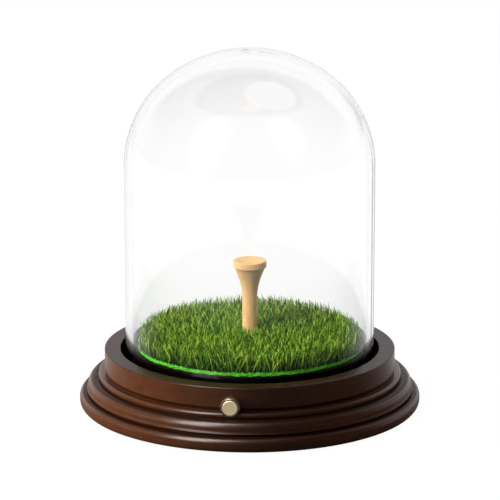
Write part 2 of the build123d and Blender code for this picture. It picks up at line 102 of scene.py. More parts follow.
# %% Helpers for shader nodes
def add_node(tree, kind, sockets=None, **settings):
    """Adds a node. A socket gets a number or colour, or a link if it is given another node's output."""
    made = tree.nodes.new(kind)
    for name, value in settings.items():
        setattr(made, name, value)
    for name, value in (sockets or {}).items():
        if isinstance(value, bpy.types.NodeSocket):
            tree.links.new(value, made.inputs[name])
        else:
            made.inputs[name].default_value = value
    return made


def start_material(name, **numbers):
    """A material with its node tree and its Principled shader, whose plain numbers are set here."""
    made = bpy.data.materials.new(name)
    made.use_nodes = True
    shader = made.node_tree.nodes["Principled BSDF"]
    for socket, value in numbers.items():
        shader.inputs[socket.replace("_", " ")].default_value = value
    return made, made.node_tree, shader


def mix_colours(tree, factor, first, second, blend="MIX"):
    """The output of a colour mix node."""
    sockets = {0: factor, 6: first, 7: second}
    return add_node(tree, "ShaderNodeMix", sockets, data_type="RGBA", blend_type=blend).outputs[2]


def calculate(tree, operation, first, second):
    """The output of a Math node."""
    return add_node(tree, "ShaderNodeMath", {0: first, 1: second}, operation=operation).outputs[0]


def vector_math(tree, operation, first, second=(0, 0, 0)):
    """The outputs of a Vector Math node: "Vector", and "Value" for a length or a distance."""
    return add_node(tree, "ShaderNodeVectorMath", {0: first, 1: second}, operation=operation).outputs


def spread(tree, value, low, high, to_low=0.0, to_high=1.0):
    """The output of a Map Range node: stretches a part of a value's range."""
    sockets = {"Value": value, "From Min": low, "From Max": high, "To Min": to_low, "To Max": to_high}
    return add_node(tree, "ShaderNodeMapRange", sockets).outputs["Result"]


def place_on(tree, scale=(1, 1, 1), turn=(0, 0, 0)):
    """The piece's own coordinates in metres, turned and stretched by a Mapping node."""
    here = add_node(tree, "ShaderNodeTexCoord").outputs["Object"]
    return add_node(tree, "ShaderNodeMapping", {"Vector": here, "Scale": scale, "Rotation": turn}).outputs[0]


def new_group(name, inputs, outputs):
    """A shader node group with named sockets. Returns the group, its input node and its output node."""
    group = bpy.data.node_groups.new(name, "ShaderNodeTree")
    for socket, kind in inputs.items():
        group.interface.new_socket(name=socket, in_out="INPUT", socket_type=kind)
    for socket, kind in outputs.items():
        group.interface.new_socket(name=socket, in_out="OUTPUT", socket_type=kind)
    return group, group.nodes.new("NodeGroupInput"), group.nodes.new("NodeGroupOutput")


def use_group(tree, group, sockets):
    """Places a node group in a material, with the material's own values."""
    return add_node(tree, "ShaderNodeGroup", sockets, node_tree=group)


def paint(node_name, material):
    """Gives a CAD node its finish."""
    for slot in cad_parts[node_name].material_slots:
        slot.material = material
    print(node_name, "is finished in", material.name)


FLOAT = "NodeSocketFloat"
VECTOR = "NodeSocketVector"
COLOUR = "NodeSocketColor"

# %% [markdown]
# ## The studio
# Glass and lacquer show what stands around them more than they show themselves. The room is a white
# backdrop behind the object with a dimmer room behind the camera, so the lacquer keeps its depth.
# Light Path tells the rays apart: the camera, and rays that came straight through the glass, see plain
# white, while the light that falls on the object stays at a plain level. A ray that was mirrored on its
# way, which Glossy Depth counts, sees the room, or every wall of the dome would add a white haze. What
# the near wall of the dome mirrors is a grey ceiling with three round lamps in it, and that draws the
# soft arch and the bright patches by which the eye reads clear glass. Transmission Depth tells the near
# wall's reflections, two passes through glass, from the far wall's, four: those see an even white.

# %% World
ROOM_LIGHT = 0.13
BACKDROP = 1.0
ROOM_IN_LACQUER = 0.005
CEILING_IN_DOME = 0.0
LAMP_IN_DOME = 2.1
CARD_IN_DOME = 0.7
# The room is drawn by direction: X points right, Y to the backdrop and Z up. Each pair is the start and
# the end of a soft edge. The card stands low behind the object, to the right.
BACKDROP_EDGE = (0.1, 0.65)
CEILING_RISE = (0.2, 0.45)
CEILING_FRONT = (-0.5, 0.6)
CEILING_BACK = (0.63, 0.7)
CARD_LEFT = (0.15, 0.3)
CARD_RIGHT = (0.5, 0.8)
CARD_DEPTH = (0.5, 0.7)
CARD_TOP = (0.05, 0.3)
# Each lamp in the ceiling: its direction's X and Y, and how far it reaches round them. It fades from a
# little inside that edge to a little outside.
LAMP_INSIDE = 0.04
LAMP_OUTSIDE = 0.01
CEILING_LAMPS = ((0.21, 0.14, 0.31), (-0.5, -0.58, 0.32), (0.57, -0.42, 0.27))
# Light Path counts bounces in whole numbers, so a step between two numbers tells them apart.
NOT_MIRRORED = (0.4, 0.6)
FOUR_PASSES = (3.4, 3.6)


def multiply(tree, *factors):
    """The output of a chain of Math nodes that multiply all the factors."""
    product = factors[0]
    for factor in factors[1:]:
        product = calculate(tree, "MULTIPLY", product, factor)
    return product


def larger(tree, first, second):
    """The output of a Math node that takes the larger of two values."""
    return calculate(tree, "MAXIMUM", first, second)


def blend(tree, factor, first, second):
    """The output of a Mix node for numbers."""
    return add_node(tree, "ShaderNodeMix", {0: factor, 2: first, 3: second}).outputs[0]


def straight_to_backdrop(tree):
    """The Light Path outputs, and 1 for rays from the camera, through glass or not, that no surface has
    mirrored."""
    rays = add_node(tree, "ShaderNodeLightPath").outputs
    unmirrored = spread(tree, rays["Glossy Depth"], *NOT_MIRRORED, 1.0, 0.0)
    return rays, larger(tree, rays["Is Camera Ray"], multiply(tree, rays["Is Transmission Ray"], unmirrored))


def far_wall(tree, rays):
    """1 for rays that went through the near wall of the dome, and came back from its far wall."""
    return spread(tree, rays["Transmission Depth"], *FOUR_PASSES)


def room_in_dome(tree, rays, direction, split):
    """What the dome mirrors: near wall, the ceiling with its lamps, and the card; far wall, even white."""
    level = vector_math(tree, "MULTIPLY", direction, (1, 1, 0))["Vector"]
    ceiling = multiply(tree, spread(tree, split["Z"], *CEILING_RISE),
                       spread(tree, split["Y"], *CEILING_BACK, 1.0, 0.0),
                       spread(tree, split["Y"], *CEILING_FRONT))
    near_wall = blend(tree, ceiling, 1.0, CEILING_IN_DOME)
    for lamp_x, lamp_y, reach in CEILING_LAMPS:
        from_lamp = vector_math(tree, "DISTANCE", level, (lamp_x, lamp_y, 0))["Value"]
        past_edge = spread(tree, from_lamp, reach - LAMP_INSIDE, reach + LAMP_OUTSIDE)
        near_wall = blend(tree, past_edge, LAMP_IN_DOME, near_wall)
    card = multiply(tree, spread(tree, split["X"], *CARD_LEFT),
                    spread(tree, split["X"], *CARD_RIGHT, 1.0, 0.0),
                    spread(tree, split["Y"], *CARD_DEPTH), spread(tree, split["Z"], *CARD_TOP, 1.0, 0.0))
    return blend(tree, far_wall(tree, rays), blend(tree, card, near_wall, CARD_IN_DOME), 1.0)


def make_world():
    world = bpy.data.worlds.new("studio")
    world.use_nodes = True
    tree = world.node_tree
    background = tree.nodes["Background"]
    rays, seen = straight_to_backdrop(tree)
    direction = add_node(tree, "ShaderNodeTexCoord").outputs["Generated"]
    split = add_node(tree, "ShaderNodeSeparateXYZ", {0: direction}).outputs
    in_lacquer = spread(tree, split["Y"], *BACKDROP_EDGE, ROOM_IN_LACQUER, BACKDROP)
    in_dome = room_in_dome(tree, rays, direction, split)
    mirrored = blend(tree, rays["Is Transmission Ray"], in_lacquer, in_dome)
    any_gloss = larger(tree, rays["Is Glossy Ray"], rays["Is Transmission Ray"])
    lit = blend(tree, any_gloss, ROOM_LIGHT, mirrored)
    tree.links.new(blend(tree, seen, lit, 1.0), background.inputs["Strength"])
    background.inputs["Color"].default_value = (1, 1, 1, 1)
    bpy.context.scene.world = world


make_world()
print("world: room light", ROOM_LIGHT)

# %% [markdown]
# ## Lamps
# The key lamp and a low one on the left light the turf, the tee and the button. A black card would keep
# them off the dark base, which has a side lamp of its own, so that its front stays deep and its left
# end is light: light linking does the card's work. A weak lamp behind on the right fills the shadow side.
# The shine lamp gives no light but its own reflection, the long highlights on the mouldings, and it is
# kept off the dome. Large lamps give soft edges to every shadow.

# %% Lamps
LAMP_DISTANCE = 1.0


def soft_box(name, turn, rise, size, power, shines=False):
    """An area lamp turned from the front and raised, in degrees. One that shines is seen only mirrored,
    and the others are never mirrored."""
    place = around(math.radians(turn), math.radians(rise), LAMP_DISTANCE)
    bpy.ops.object.light_add(type="AREA", location=place, rotation=aim(place, LOOK_AT))
    lamp = bpy.context.object
    lamp.name = name
    lamp.data.shape = "RECTANGLE"
    lamp.data.size, lamp.data.size_y = size
    lamp.data.energy = power
    lamp.visible_camera = False
    lamp.visible_diffuse = not shines
    lamp.visible_glossy = shines
    lamp.visible_transmission = False
    print(name, power, "W")
    return lamp


def light_only(lamp, names, state="INCLUDE"):
    """Lets a lamp light nothing but the named pieces, or with "EXCLUDE" all but them."""
    linked = bpy.data.collections.new(lamp.name + "_linked")
    for name in names:
        linked.objects.link(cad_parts[name])
    for entry in linked.collection_objects:
        entry.light_linking.link_state = state
    lamp.light_linking.receiver_collection = linked


light_only(soft_box("key_lamp", -40, 40, (0.5, 0.5), 13.5), ["base_moulding"], "EXCLUDE")
light_only(soft_box("low_lamp", -100, 14, (0.5, 0.5), 6.5), ["base_moulding"], "EXCLUDE")
light_only(soft_box("side_lamp", -80, 12, (0.5, 0.5), 18.5), ["base_moulding"])
soft_box("back_lamp", 112, 28, (0.5, 0.5), 2.4)
light_only(soft_box("shine_lamp", -34, 40, (0.42, 1.1), 26.0, shines=True),
           ["base_moulding", "button_bezel", "button_cap", "tee"])

# %% [markdown]
# ## The floor
# The floor is a plain sheet. Seen by the camera it glows just enough to meet the backdrop without a
# seam, and since the glow is added to the lit sheet, the object's shadow stays on it. What is mirrored
# from it is dark close in front, so that the lacquer stays deep, and bright behind and farther off.
# From below the sheet is clear, so the underside of the base can be looked at.

# %% Floor
FLOOR_SIZE = 12
FLOOR_DROP = 0.0002
FLOOR_SEEN = 0.97
FLOOR_IN_GLOSS = 0.95
# What is mirrored of the floor brightens between these depths behind the axis, as the camera sees it, and
# between these distances from the axis.
BRIGHT_BEHIND = (-0.03, 0.1)
BRIGHT_AWAY = (0.17, 0.26)

bpy.ops.object.select_all(action="DESELECT")
bpy.ops.mesh.primitive_plane_add(size=FLOOR_SIZE, location=(0, 0, -FLOOR_DROP))
floor = bpy.context.object
floor.name = "floor"
floor_paper, floor_tree, floor_shader = start_material(
    "floor_paper", Base_Color=(0.06, 0.06, 0.06, 1), Roughness=0.9, Specular_IOR_Level=0.0
)
floor_rays, floor_seen = straight_to_backdrop(floor_tree)
floor_place = place_on(floor_tree, turn=(0, 0, -CAMERA_TURN))
floor_depth = add_node(floor_tree, "ShaderNodeSeparateXYZ", {0: floor_place}).outputs["Y"]
floor_reach = vector_math(floor_tree, "LENGTH", floor_place)["Value"]
floor_away = larger(floor_tree, spread(floor_tree, floor_depth, *BRIGHT_BEHIND),
                    spread(floor_tree, floor_reach, *BRIGHT_AWAY))
floor_bright = larger(floor_tree, floor_away, far_wall(floor_tree, floor_rays))
floor_in_gloss = multiply(floor_tree, floor_bright, FLOOR_IN_GLOSS,
                          larger(floor_tree, floor_rays["Is Glossy Ray"], floor_rays["Is Transmission Ray"]))
floor_light = add_node(floor_tree, "ShaderNodeEmission", {
    "Color": (1, 1, 1, 1), "Strength": blend(floor_tree, floor_seen, floor_in_gloss, FLOOR_SEEN)})
floor_sum = add_node(floor_tree, "ShaderNodeAddShader", {
    0: floor_shader.outputs[0], 1: floor_light.outputs[0]})
floor_below = add_node(floor_tree, "ShaderNodeMixShader", {
    0: add_node(floor_tree, "ShaderNodeNewGeometry").outputs["Backfacing"], 1: floor_sum.outputs[0],
    2: add_node(floor_tree, "ShaderNodeBsdfTransparent").outputs[0]})
floor_tree.links.new(floor_below.outputs[0], floor_tree.nodes["Material Output"].inputs["Surface"])
floor.data.materials.append(floor_paper)
print("floor ready")

# %% [markdown]
# ## Wood grain
# Two pieces here are wood: the dark turned base and the pale tee. Wood shows broad darker and lighter
# bands, and fine pores, both drawn out along the trunk. One node group makes both. It expects the
# grain to run along its X axis, so each material turns its coordinates first.

# %% Wood grain group
DRAWN_OUT = (0.06, 1, 1)


def make_grain_group():
    group, given, result = new_group(
        "wood_grain",
        {"Vector": VECTOR, "Band Scale": FLOAT, "Pore Scale": FLOAT, "Waviness": FLOAT},
        {"Bands": FLOAT, "Pores": FLOAT, "Streaks": FLOAT},
    )
    wave = add_node(group, "ShaderNodeTexNoise", {
        "Vector": given.outputs["Vector"], "Scale": 25.0, "Detail": 2.0})
    centred = vector_math(group, "SUBTRACT", wave.outputs["Color"], (0.5, 0.5, 0.5))["Vector"]
    shifted = add_node(group, "ShaderNodeVectorMath", {
        "Vector": centred, "Scale": given.outputs["Waviness"]}, operation="SCALE")
    bent = vector_math(group, "ADD", given.outputs["Vector"], shifted.outputs[0])["Vector"]
    long_way = vector_math(group, "MULTIPLY", bent, DRAWN_OUT)["Vector"]
    bands = add_node(group, "ShaderNodeTexNoise", {
        "Vector": long_way, "Scale": given.outputs["Band Scale"], "Detail": 3.0, "Roughness": 0.55})
    streaks = add_node(group, "ShaderNodeTexNoise", {
        "Vector": long_way, "Scale": given.outputs["Pore Scale"], "Detail": 2.0, "Roughness": 0.6})
    pores = add_node(group, "ShaderNodeTexVoronoi", {
        "Vector": long_way, "Scale": given.outputs["Pore Scale"]})
    group.links.new(spread(group, bands.outputs[0], 0.3, 0.7), result.inputs["Bands"])
    group.links.new(spread(group, streaks.outputs[0], 0.35, 0.65), result.inputs["Streaks"])
    group.links.new(spread(group, pores.outputs["Distance"], 0.0, 0.22, 1.0, 0.0), result.inputs["Pores"])
    return group


wood_grain = make_grain_group()
print("group", wood_grain.name, "with", len(wood_grain.nodes), "nodes")

# %% [markdown]
# ## The turned base
# The base is turned from one thick board of walnut, with a stain and a lacquer. The board lay flat on the
# lathe, so the grain runs straight across it: long lines at the front, end grain at the sides. The
# lacquer is a clear coat over the wood, with a softer gloss than glass. The groove that the dome stands
# in is painted nearly black, as painted shade, by the distance from the axis, and has almost no coat.
# The flat top of the rim is painted a little darker by its height, as painted shade, and has less coat.
# The narrow quirks between the mouldings get painted shade too, a dark band at each one's height, and
# the coat is thinner there and on the hollow above the foot, which dims their highlights.

# %% Walnut
ISLAND_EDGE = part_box("turf_mat")[1].x
GROOVE_OUTER = 0.0456
# How soft the edge of each painted shade is.
SHADE_EDGE = 0.0002
# The narrow grooves between the mouldings, and the hollow above the foot, each from one height to another.
QUIRKS = ((0.0052, 0.0063), (0.0100, 0.0109), (0.0126, 0.0139))
HOLLOW = ((0.0063, 0.0076),)
# The flat top of the rim lies this far below the underside of the mat.
RIM_BELOW_MAT = 0.00075
RIM_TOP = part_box("turf_mat")[0].z - RIM_BELOW_MAT
# Its painted shade starts and is full at these depths under the top.
TOP_SHADE_DEPTHS = (0.0003, 0.0001)
COAT = 0.5
COAT_IN_GROOVE = 0.03


def height_bands(tree, height, bands):
    """1 at the heights inside any of the bands."""
    inside = 0.0
    for low, high in bands:
        above = spread(tree, height, low, low + SHADE_EDGE)
        below = spread(tree, height, high - SHADE_EDGE, high, 1.0, 0.0)
        inside = larger(tree, inside, multiply(tree, above, below))
    return inside


def make_walnut():
    material, tree, shader = start_material("walnut", Specular_IOR_Level=0.05, Coat_Roughness=0.26)
    here = place_on(tree, turn=(0, 0, math.radians(4)))
    grain = use_group(tree, wood_grain, {
        "Vector": here, "Band Scale": 420.0, "Pore Scale": 2600.0, "Waviness": 0.006}).outputs
    body = mix_colours(tree, grain["Bands"], (0.0695, 0.0225, 0.0083, 1), (0.094, 0.0315, 0.012, 1))
    streaked = mix_colours(tree, spread(tree, grain["Streaks"], 0.0, 1.0, 0.0, 0.4), body,
                           (0.125, 0.036, 0.011, 1))
    pored = mix_colours(tree, spread(tree, grain["Pores"], 0.0, 1.0, 0.0, 0.6), streaked,
                        (0.018, 0.005, 0.002, 1))
    far = vector_math(tree, "LENGTH", vector_math(tree, "MULTIPLY", here, (1, 1, 0))["Vector"])["Value"]
    outside_island = spread(tree, far, ISLAND_EDGE - SHADE_EDGE, ISLAND_EDGE)
    inside_rim = spread(tree, far, GROOVE_OUTER, GROOVE_OUTER + SHADE_EDGE, 1.0, 0.0)
    groove = multiply(tree, outside_island, inside_rim)
    height = add_node(tree, "ShaderNodeSeparateXYZ", {0: here}).outputs["Z"]
    flat_top = spread(tree, height, *(RIM_TOP - depth for depth in TOP_SHADE_DEPTHS))
    quirks = height_bands(tree, height, QUIRKS)
    hollow = height_bands(tree, height, HOLLOW)
    # Painted shade: a dark band in each quirk between the mouldings.
    quirk_shaded = mix_colours(tree, multiply(tree, quirks, 0.75), pored, (0.012, 0.003, 0.001, 1))
    # Painted shade: the flat top of the rim is darker.
    toned = mix_colours(tree, multiply(tree, flat_top, 0.7), quirk_shaded, (0.022, 0.0075, 0.0025, 1))
    # Painted shade: the groove between the island and the rim is near-black.
    shade_painted = mix_colours(tree, groove, toned, (0.002, 0.0006, 0.0003, 1))
    tree.links.new(shade_painted, shader.inputs["Base Color"])
    coat = spread(tree, groove, 0.0, 1.0, COAT, COAT_IN_GROOVE)
    # The share of the coat that is left in each of these places.
    for place, share in ((flat_top, 0.55), (quirks, 0.2), (hollow, 0.35)):
        coat = multiply(tree, coat, spread(tree, place, 0.0, 1.0, 1.0, share))
    tree.links.new(coat, shader.inputs["Coat Weight"])
    tree.links.new(spread(tree, grain["Streaks"], 0.0, 1.0, 0.34, 0.46), shader.inputs["Roughness"])
    bump = add_node(tree, "ShaderNodeBump", {
        "Height": grain["Pores"], "Strength": 0.25, "Distance": 0.00003}, invert=True)
    tree.links.new(bump.outputs[0], shader.inputs["Normal"])
    return material


walnut = make_walnut()
paint("base_moulding", walnut)

# %% [markdown]
# ## The glass dome
# Clear glass is a Principled shader with full transmission. Real lamps reach what stands in the dome,
# but a path tracer finds light through glass only by luck, so shadow rays and soft bounced light pass
# the glass by a Transparent shader, and the case is lit without noise.

# %% Dome glass
def make_glass():
    material, tree, shader = start_material(
        "dome_glass", Base_Color=(0.998, 0.998, 0.998, 1), Roughness=0.0, IOR=1.45, Transmission_Weight=1.0
    )
    rays = add_node(tree, "ShaderNodeLightPath").outputs
    passing = larger(tree, rays["Is Shadow Ray"], rays["Is Diffuse Ray"])
    clear = add_node(tree, "ShaderNodeBsdfTransparent", {"Color": (0.98, 0.985, 0.985, 1)})
    mix = add_node(tree, "ShaderNodeMixShader", {0: passing, 1: shader.outputs[0], 2: clear.outputs[0]})
    tree.links.new(mix.outputs[0], tree.nodes["Material Output"].inputs["Surface"])
    return material


dome_glass = make_glass()
paint("glass_dome", dome_glass)

# %% [markdown]
# ## The tee
# A golf tee is turned from birch: pale, even wood with fine straight grain that runs up the stem.
# It is left nearly bare, so it has no strong gloss.

# %% Birch
def make_birch():
    material, tree, shader = start_material("tee_birch", Specular_IOR_Level=0.2, Subsurface_Weight=0.2,
                                            Subsurface_Radius=(1.0, 0.35, 0.12), Subsurface_Scale=0.0015)
    here = place_on(tree, turn=(0, math.radians(90), math.radians(20)))
    grain = use_group(tree, wood_grain, {
        "Vector": here, "Band Scale": 900.0, "Pore Scale": 4200.0, "Waviness": 0.0015}).outputs
    body = mix_colours(tree, grain["Bands"], (0.84, 0.495, 0.195, 1), (0.91, 0.59, 0.27, 1))
    streaked = mix_colours(tree, spread(tree, grain["Streaks"], 0.0, 1.0, 0.0, 0.35), body,
                           (0.78, 0.42, 0.155, 1))
    tree.links.new(streaked, shader.inputs["Base Color"])
    tree.links.new(spread(tree, grain["Streaks"], 0.0, 1.0, 0.5, 0.62), shader.inputs["Roughness"])
    bump = add_node(tree, "ShaderNodeBump", {
        "Height": grain["Streaks"], "Strength": 0.2, "Distance": 0.00002})
    tree.links.new(bump.outputs[0], shader.inputs["Normal"])
    return material


birch = make_birch()
paint("tee", birch)

# %% [markdown]
# ## Metal
# The button, its ring, the screws, the contacts and the cell are metal. Up close each has a fine
# matt grain from blasting or plating, which shows as small changes of tone and roughness. A node
# group gives that grain, and each metal sets how coarse and how strong it is.

# %% Metal grain group
def make_metal_group():
    group, given, result = new_group(
        "metal_grain", {"Vector": VECTOR, "Scale": FLOAT, "Base": COLOUR, "Shade": FLOAT, "Roughness": FLOAT},
        {"Color": COLOUR, "Roughness": FLOAT, "Height": FLOAT},
    )
    fine = add_node(group, "ShaderNodeTexNoise", {
        "Vector": given.outputs["Vector"], "Scale": given.outputs["Scale"], "Detail": 3.0, "Roughness": 0.7})
    cloud = add_node(group, "ShaderNodeTexNoise", {
        "Vector": given.outputs["Vector"], "Scale": 180.0, "Detail": 2.0})
    grain = spread(group, fine.outputs[0], 0.35, 0.65)
    dark = mix_colours(group, 1.0, given.outputs["Base"], (0.72, 0.7, 0.68, 1), "MULTIPLY")
    share = calculate(group, "MULTIPLY", grain, given.outputs["Shade"])
    group.links.new(mix_colours(group, share, given.outputs["Base"], dark), result.inputs["Color"])
    swing = spread(group, cloud.outputs[0], 0.3, 0.7, -0.05, 0.07)
    rough = calculate(group, "ADD", given.outputs["Roughness"], swing)
    group.links.new(rough, result.inputs["Roughness"])
    group.links.new(grain, result.inputs["Height"])
    return group


metal_grain = make_metal_group()


def make_metal(name, colour, roughness, scale=6000.0, shade=0.6, height=0.00001, metallic=1.0):
    material, tree, shader = start_material(name, Metallic=metallic)
    grain = use_group(tree, metal_grain, {
        "Vector": place_on(tree), "Scale": scale, "Base": (*colour, 1), "Shade": shade,
        "Roughness": roughness}).outputs
    tree.links.new(grain["Color"], shader.inputs["Base Color"])
    tree.links.new(grain["Roughness"], shader.inputs["Roughness"])
    bump = add_node(tree, "ShaderNodeBump", {"Height": grain["Height"], "Strength": 0.3, "Distance": height})
    tree.links.new(bump.outputs[0], shader.inputs["Normal"])
    return material


print("group", metal_grain.name)

# %% [markdown]
# ## The push button
# A champagne-coloured cap slides in a dark bronze ring. The cap's face is finely blasted and satin;
# the ring is darker and smoother, so it frames the cap.

# %% Button finishes
paint("button_cap", make_metal("champagne_metal", (0.74, 0.61, 0.38), 0.45, scale=5200.0, shade=0.7,
                               height=0.00002, metallic=0.5))
paint("button_bezel", make_metal("bronze", (0.2, 0.135, 0.07), 0.34, metallic=0.7))
paint("button_stem_clip", make_metal("spring_steel", (0.4, 0.4, 0.42), 0.28))

# %% [markdown]
# ## Screws, contacts and cell
# The hidden metal pieces are plated steel and nickel. They are seen only from below or with a piece
# taken out, but each gets the finish that the real one has.

# %% Hidden metals
nickel = make_metal("contact_nickel", (0.66, 0.62, 0.55), 0.25)
paint("plate_screws", make_metal("screw_steel", (0.5, 0.5, 0.5), 0.32, scale=3000.0))
paint("coin_cell", make_metal("cell_steel", (0.68, 0.68, 0.67), 0.22, scale=2500.0))
paint("contact_positive", nickel)
paint("contact_negative", nickel)

# %% [markdown]
# ## Plastics and rubber
# The plate under the base, the battery cap, the switch and the silicone seat are moulded. Moulded
# plastic has a fine spark-eroded texture and small cloudy changes of gloss. One node group makes the
# clouds and the pebbled surface for all of them.

# %% Moulded plastic group
def make_mould_group():
    group, given, result = new_group(
        "mould_texture", {"Vector": VECTOR, "Scale": FLOAT, "Base": COLOUR, "Roughness": FLOAT},
        {"Color": COLOUR, "Roughness": FLOAT, "Height": FLOAT},
    )
    cloud = add_node(group, "ShaderNodeTexNoise", {
        "Vector": given.outputs["Vector"], "Scale": 90.0, "Detail": 4.0})
    pebble = add_node(group, "ShaderNodeTexVoronoi", {
        "Vector": given.outputs["Vector"], "Scale": given.outputs["Scale"]}, feature="SMOOTH_F1")
    lighter = mix_colours(group, 1.0, given.outputs["Base"], (0.12, 0.12, 0.12, 1), "SCREEN")
    share = spread(group, cloud.outputs[0], 0.35, 0.75, 0.0, 0.35)
    group.links.new(mix_colours(group, share, given.outputs["Base"], lighter), result.inputs["Color"])
    swing = spread(group, cloud.outputs[0], 0.3, 0.7, -0.06, 0.08)
    rough = calculate(group, "ADD", given.outputs["Roughness"], swing)
    group.links.new(rough, result.inputs["Roughness"])
    group.links.new(pebble.outputs["Distance"], result.inputs["Height"])
    return group


mould_texture = make_mould_group()


def make_plastic(name, colour, roughness, scale=2500.0, **numbers):
    material, tree, shader = start_material(name, **numbers)
    texture = use_group(tree, mould_texture, {
        "Vector": place_on(tree), "Scale": scale, "Base": (*colour, 1), "Roughness": roughness}).outputs
    tree.links.new(texture["Color"], shader.inputs["Base Color"])
    tree.links.new(texture["Roughness"], shader.inputs["Roughness"])
    bump = add_node(tree, "ShaderNodeBump", {
        "Height": texture["Height"], "Strength": 0.25, "Distance": 0.00002})
    tree.links.new(bump.outputs[0], shader.inputs["Normal"])
    return material


print("group", mould_texture.name)

# %% [markdown]
# ## Moulded pieces, boards and wires
# Dark plastic closes the underside, the switch has a black case with a white plunger, and the boards
# are green glass cloth. The lamp lenses are milky yellow, as white lamps look when they are off.

# %% Plastic finishes
paint("bottom_plate", make_plastic("bay_plastic", (0.012, 0.012, 0.013), 0.5))
paint("battery_cap", make_plastic("battery_cap_plastic", (0.016, 0.016, 0.017), 0.42))
paint("switch_body", make_plastic("switch_case", (0.01, 0.01, 0.01), 0.4))
paint("switch_plunger", make_plastic("switch_plunger_plastic", (0.75, 0.74, 0.7), 0.35))
paint("dome_seat_ring", make_plastic("seat_silicone", (0.012, 0.011, 0.01), 0.6, scale=1800.0,
                                     Subsurface_Weight=0.1, Subsurface_Scale=0.001))
board_green = make_plastic("circuit_board", (0.012, 0.085, 0.03), 0.35, scale=1200.0)
paint("lamp_ring_board", board_green)
paint("switch_board", board_green)
paint("lamps", make_plastic("lamp_lens", (0.8, 0.68, 0.3), 0.25))
paint("lamp_resistors", make_plastic("resistor_body", (0.02, 0.02, 0.022), 0.4))
wire_red = make_plastic("wire_red", (0.45, 0.015, 0.01), 0.38, scale=1500.0)
paint("wire_battery_to_switch", wire_red)
paint("wire_switch_to_lamps", wire_red)
paint("wire_battery_to_lamps", make_plastic("wire_black", (0.015, 0.015, 0.015), 0.4, scale=1500.0))

# %% [markdown]
# ## Modelling helpers
# The soft pieces are modelled with the same operators as by hand. An operator works on everything
# that is selected, so each piece starts with a clean selection, and in edit mode vertices, edges or
# faces are picked by where they are.

# %% Helpers for modelling
def pick(piece):
    """Makes a piece the only selected object."""
    if bpy.context.object and bpy.context.object.mode != "OBJECT":
        bpy.ops.object.mode_set(mode="OBJECT")
    bpy.ops.object.select_all(action="DESELECT")
    piece.select_set(True)
    bpy.context.view_layer.objects.active = piece


def edit(piece):
    """Starts edit mode on a piece, with all of it selected."""
    pick(piece)
    bpy.ops.object.mode_set(mode="EDIT")
    bpy.ops.mesh.select_all(action="SELECT")


def done():
    """Goes back to object mode, which writes the edits into the mesh."""
    bpy.ops.object.mode_set(mode="OBJECT")


def select_where(piece, test, kind="VERT"):
    """In edit mode, selects what passes the test. The test gets the middle of the vertex, edge or face."""
    bpy.ops.mesh.select_mode(type=kind)
    bpy.ops.mesh.select_all(action="DESELECT")
    shape = bmesh.from_edit_mesh(piece.data)
    items = {"VERT": shape.verts, "EDGE": shape.edges, "FACE": shape.faces}[kind]
    for item in items:
        middle = item.co if kind == "VERT" else sum((v.co for v in item.verts), Vector()) / len(item.verts)
        if test(middle):
            item.select_set(True)
    shape.select_flush_mode()
    bmesh.update_edit_mesh(piece.data)


def tidy_mesh(piece):
    """Merges doubled vertices and turns every face outwards."""
    edit(piece)
    bpy.ops.mesh.remove_doubles(threshold=1e-6)
    bpy.ops.mesh.select_all(action="SELECT")
    bpy.ops.mesh.normals_make_consistent(inside=False)
    done()


def apply_place(piece):
    """Moves the piece's place into its mesh, so that its object sits at the origin."""
    pick(piece)
    bpy.ops.object.transform_apply(location=True, rotation=True, scale=True)


def report(piece):
    """Prints a piece's size and how many triangles it has."""
    triangles = sum(len(p.vertices) - 2 for p in piece.data.polygons)
    size = [round(1000 * x, 2) for x in piece.dimensions]
    print(piece.name, triangles, "triangles, size in mm", size)


def radius_of(point):
    """The distance of a point from the object's axis."""
    return math.hypot(point.x, point.y)

# %% [markdown]
# ## A flat ring of soft material
# The felt under the base and the turf's backing are both rings cut from sheet. A circle of edges is
# extruded inwards in steps, so that the ring gets evenly sized faces, then Solidify gives the sheet
# its thickness. Its cut edges are rounded, and shaken a little, because a knife never cuts a sheet of
# fibres clean.

# %% Ring of sheet
RING_CORNERS = 240
# Points nearer than these to an edge's radius, or to a height, count as on it.
ON_EDGE = 2e-5
ON_LEVEL = 1e-5
# Vertices are shaken up to this far in from an edge, as a share of its rounding.
SHAKEN_SHARE = 1.2


